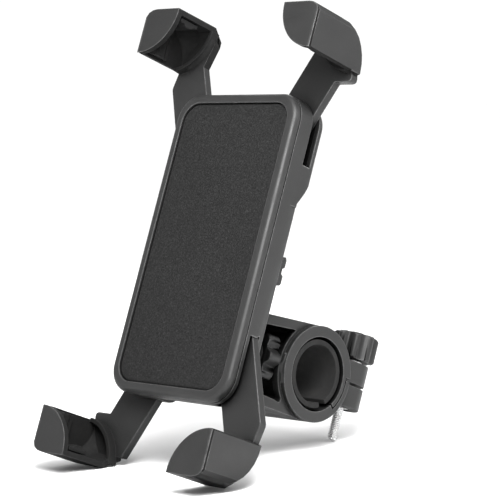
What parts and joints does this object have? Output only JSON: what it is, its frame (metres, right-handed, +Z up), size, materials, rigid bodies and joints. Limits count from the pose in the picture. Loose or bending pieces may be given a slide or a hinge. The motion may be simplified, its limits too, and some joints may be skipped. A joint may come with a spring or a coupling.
{
  "type": "handlebar phone mount",
  "caption": "Phone holder for a handlebar: hooked arms slide out of a padded body by rack and pinion, and a swivelling split-ring clamp grips the bar.",
  "frame": {"origin": "centre of the handlebar clamp's bore", "axes": "+X along the handlebar, -Y towards the side that the phone faces, +Z up. The holder leans back by 21.7 degrees about X."},
  "size_m": [0.0908, 0.1378, 0.17],
  "materials": {
    "shell_plastic": "fine satin texture",
    "arm_plastic": "fine satin texture",
    "pad_foam": "speckled closed-cell foam",
    "sleeve_rubber": "matte rubber",
    "dark_rubber": "matte rubber",
    "gear_plastic": "natural nylon",
    "steel": "zinc plated"
  },
  "bodies": {
    "clamp": {"clamp_bracket": "arm_plastic", "rubber_insert": "sleeve_rubber", "captive_nut": "steel", "clamp_washer": "steel"},
    "holder": {"front_shell": "shell_plastic", "grip_pad": "pad_foam", "back_cover": "shell_plastic", "cover_screw_1": "steel", "cover_screw_2": "steel", "cover_screw_3": "steel", "cover_screw_4": "steel", "pinion_pin": "steel", "swivel_stud": "steel", "swivel_washer": "dark_rubber"},
    "lock_nut": {"swivel_lock_nut": "arm_plastic"},
    "thumb_screw": {"clamp_knob": "arm_plastic", "clamp_bolt": "steel"},
    "pinion": {"pinion_gear": "gear_plastic"},
    "lock_slider": {"lock_slider": "arm_plastic"},
    "arm_upper_right": {"arm_upper_right": "arm_plastic", "claw_pad_upper_right": "dark_rubber"},
    "arm_lower_left": {"arm_lower_left": "arm_plastic", "claw_pad_lower_left": "dark_rubber"},
    "arm_lower_right": {"arm_lower_right": "arm_plastic", "claw_pad_lower_right": "dark_rubber"},
    "arm_upper_left": {"arm_upper_left": "arm_plastic", "claw_pad_upper_left": "dark_rubber"}
  },
  "joints": [
    {"name": "holder_swivel", "type": "hinge", "parent": "clamp", "child": "holder", "pos_m": [0, 0, 0], "axis": [0, 0.9291, -0.3697], "continuous": true},
    {"name": "lock_nut_turn", "type": "hinge", "parent": "clamp", "child": "lock_nut", "pos_m": [0, 0, 0], "axis": [0, 0.9291, -0.3697], "continuous": true},
    {"name": "thumb_screw_turn", "type": "hinge", "parent": "clamp", "child": "thumb_screw", "pos_m": [0, 0.02685, -0.01069], "axis": [0, 0.3697, 0.9291], "continuous": true},
    {"name": "arm_upper_right_slide", "type": "slide", "parent": "holder", "child": "arm_upper_right", "axis": [0.4305, 0.3337, 0.8386], "range_m": [-0.017, 0]},
    {"name": "arm_lower_left_slide", "type": "slide", "parent": "holder", "child": "arm_lower_left", "axis": [-0.4305, -0.3337, -0.8386], "range_m": [-0.017, 0]},
    {"name": "arm_lower_right_slide", "type": "slide", "parent": "holder", "child": "arm_lower_right", "axis": [0.4305, -0.3337, -0.8386], "range_m": [-0.017, 0]},
    {"name": "arm_upper_left_slide", "type": "slide", "parent": "holder", "child": "arm_upper_left", "axis": [-0.4305, 0.3337, 0.8386], "range_m": [-0.017, 0]},
    {"name": "pinion_turn", "type": "hinge", "parent": "holder", "child": "pinion", "pos_m": [0, -0.03881, 0.04988], "axis": [0, 0.9291, -0.3697], "range_deg": [-163, 0]},
    {"name": "lock_slide", "type": "slide", "parent": "holder", "child": "lock_slider", "axis": [0, 0.3697, 0.9291], "range_m": [0, 0.004]}
  ],
  "couplings": [
    {"joint": "arm_lower_left_slide", "follows": "arm_upper_right_slide", "ratio": 1},
    {"joint": "arm_lower_right_slide", "follows": "arm_upper_right_slide", "ratio": 1},
    {"joint": "arm_upper_left_slide", "follows": "arm_upper_right_slide", "ratio": 1},
    {"joint": "pinion_turn", "follows": "arm_upper_right_slide", "rad_per_m": 166.67}
  ]
}
